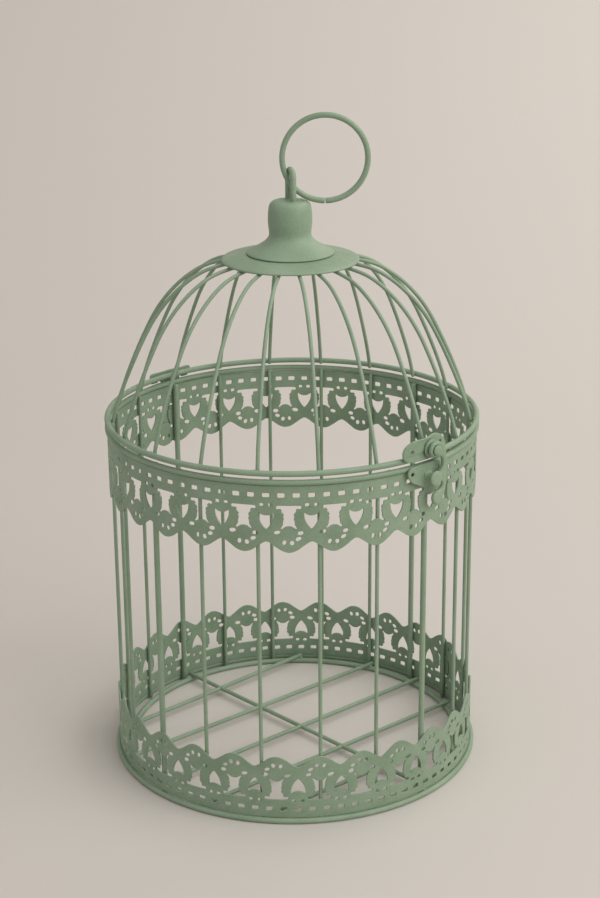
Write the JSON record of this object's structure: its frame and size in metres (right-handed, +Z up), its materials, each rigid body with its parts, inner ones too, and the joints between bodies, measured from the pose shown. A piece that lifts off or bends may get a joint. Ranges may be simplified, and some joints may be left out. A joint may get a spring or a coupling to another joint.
{
  "type": "decorative wire card cage",
  "caption": "Round wire birdcage-style card holder with pierced scalloped bands, a hinged domed lid, a hook latch and a carry ring.",
  "frame": {"origin": "centre of the foot ring at floor level", "axes": "+Z up through the finial, +Y towards the lid hinge, -Y towards the latch"},
  "size_m": [0.202, 0.2112, 0.3518],
  "materials": {
    "sage_powder_coat": "satin powder coat"
  },
  "bodies": {
    "cage": {"bar_01": "sage_powder_coat", "bar_02": "sage_powder_coat", "bar_03": "sage_powder_coat", "bar_04": "sage_powder_coat", "bar_06": "sage_powder_coat", "bar_07": "sage_powder_coat", "bar_08": "sage_powder_coat", "bar_09": "sage_powder_coat", "bar_11": "sage_powder_coat", "bar_12": "sage_powder_coat", "bar_13": "sage_powder_coat", "bar_14": "sage_powder_coat", "bar_16": "sage_powder_coat", "bar_17": "sage_powder_coat", "bar_18": "sage_powder_coat", "bar_19": "sage_powder_coat", "floor_grid": "sage_powder_coat", "foot_ring": "sage_powder_coat", "hinge_leaf_cage": "sage_powder_coat", "hinge_pin": "sage_powder_coat", "keeper_plate": "sage_powder_coat", "lower_band": "sage_powder_coat", "peg": "sage_powder_coat", "post_00": "sage_powder_coat", "post_05": "sage_powder_coat", "post_10": "sage_powder_coat", "post_15": "sage_powder_coat", "rim_ring": "sage_powder_coat", "upper_band": "sage_powder_coat"},
    "lid": {"dome_wire_00": "sage_powder_coat", "dome_wire_01": "sage_powder_coat", "dome_wire_02": "sage_powder_coat", "dome_wire_03": "sage_powder_coat", "dome_wire_04": "sage_powder_coat", "dome_wire_05": "sage_powder_coat", "dome_wire_06": "sage_powder_coat", "dome_wire_07": "sage_powder_coat", "dome_wire_08": "sage_powder_coat", "dome_wire_09": "sage_powder_coat", "dome_wire_10": "sage_powder_coat", "dome_wire_11": "sage_powder_coat", "dome_wire_12": "sage_powder_coat", "dome_wire_13": "sage_powder_coat", "dome_wire_14": "sage_powder_coat", "dome_wire_15": "sage_powder_coat", "dome_wire_16": "sage_powder_coat", "dome_wire_17": "sage_powder_coat", "dome_wire_18": "sage_powder_coat", "dome_wire_19": "sage_powder_coat", "lid_ring": "sage_powder_coat", "cap_plate": "sage_powder_coat", "finial": "sage_powder_coat", "eye": "sage_powder_coat", "hinge_leaf_lid": "sage_powder_coat", "latch_plate": "sage_powder_coat", "pivot_rivet": "sage_powder_coat"},
    "hook": {"hook": "sage_powder_coat"},
    "carry_ring": {"carry_ring": "sage_powder_coat"}
  },
  "joints": [
    {"name": "lid_hinge", "type": "hinge", "parent": "cage", "child": "lid", "pos_m": [0, 0.10195, 0.19005], "axis": [-1, 0, 0], "range_deg": [0, 110]},
    {"name": "latch_pivot", "type": "hinge", "parent": "lid", "child": "hook", "pos_m": [-0.00172, -0.10443, 0.1965], "axis": [-0.0471, -0.9989, 0], "range_deg": [0, 100]},
    {"name": "ring_rock", "type": "hinge", "parent": "lid", "child": "carry_ring", "pos_m": [0.00087, -0.00083, 0.3145], "axis": [-0.6909, -0.723, 0], "range_deg": [0, 96.5]}
  ]
}
